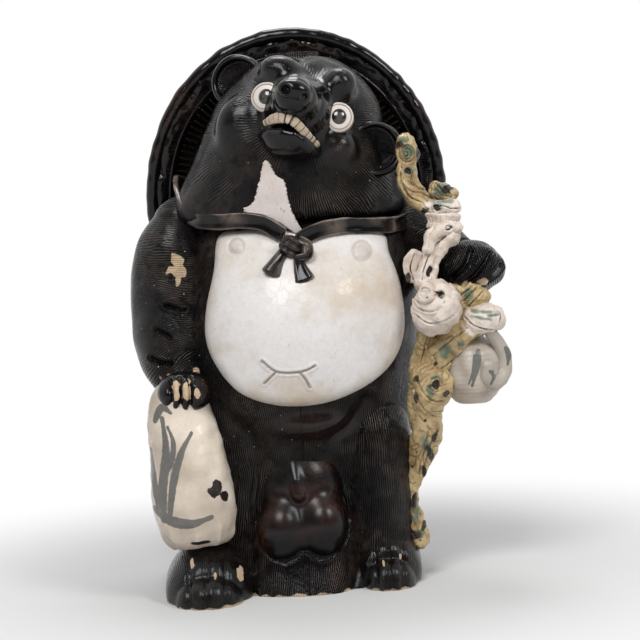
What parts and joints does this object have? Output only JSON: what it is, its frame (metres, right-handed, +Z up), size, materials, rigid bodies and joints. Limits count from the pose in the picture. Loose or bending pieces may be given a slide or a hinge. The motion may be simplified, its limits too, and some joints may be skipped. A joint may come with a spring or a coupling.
{
  "type": "tanuki statue",
  "caption": "Upright raccoon-dog figure in glazed stoneware, with a straw hat, a flask, a gnarled branch and a hanging jar.",
  "frame": {"origin": "on the ground, under the middle of the figure's bounding box", "axes": "+Z up; the viewer who faces the figure stands towards -Y; the figure's right hand is towards -X"},
  "size_m": [0.3008, 0.2354, 0.4475],
  "materials": {
    "black_glaze": "gloss",
    "branch_glaze": "gloss",
    "jar_glaze": "gloss",
    "pouch_glaze": "gloss",
    "string_glaze": "gloss",
    "tooth_clay": "gloss",
    "white_glaze": "gloss"
  },
  "bodies": {
    "root": {"belly": "white_glaze", "body_shell": "black_glaze", "bow_knot": "string_glaze", "bow_loop": "string_glaze", "bow_tail_left": "string_glaze", "bow_tail_right": "string_glaze", "branch_bead": "branch_glaze", "branch_burl": "white_glaze", "branch_collar": "white_glaze", "branch_crook": "branch_glaze", "branch_end": "branch_glaze", "branch_foot": "branch_glaze", "branch_knot": "branch_glaze", "branch_leaf": "branch_glaze", "branch_limb": "branch_glaze", "branch_neck": "branch_glaze", "branch_stem": "branch_glaze", "branch_stub": "branch_glaze", "branch_twist": "branch_glaze", "branch_wrap": "branch_glaze", "ear_left": "black_glaze", "ear_right": "black_glaze", "eye_left": "white_glaze", "eye_right": "white_glaze", "flask": "white_glaze", "hanging_jar": "jar_glaze", "hat": "black_glaze", "hat_hoop": "black_glaze", "hat_ribs": "black_glaze", "hat_rim": "black_glaze", "hat_string_left": "string_glaze", "hat_string_right": "string_glaze", "head": "black_glaze", "jar_tie": "white_glaze", "left_arm": "black_glaze", "left_foot": "black_glaze", "left_leg": "black_glaze", "left_paw": "black_glaze", "lower_jaw": "black_glaze", "nose": "black_glaze", "pouch": "pouch_glaze", "pupil_left": "black_glaze", "pupil_right": "black_glaze", "right_arm": "black_glaze", "right_foot": "black_glaze", "right_leg": "black_glaze", "right_paw": "black_glaze", "tail": "black_glaze", "throat_blaze": "white_glaze", "upper_teeth": "tooth_clay"}
  },
  "joints": []
}
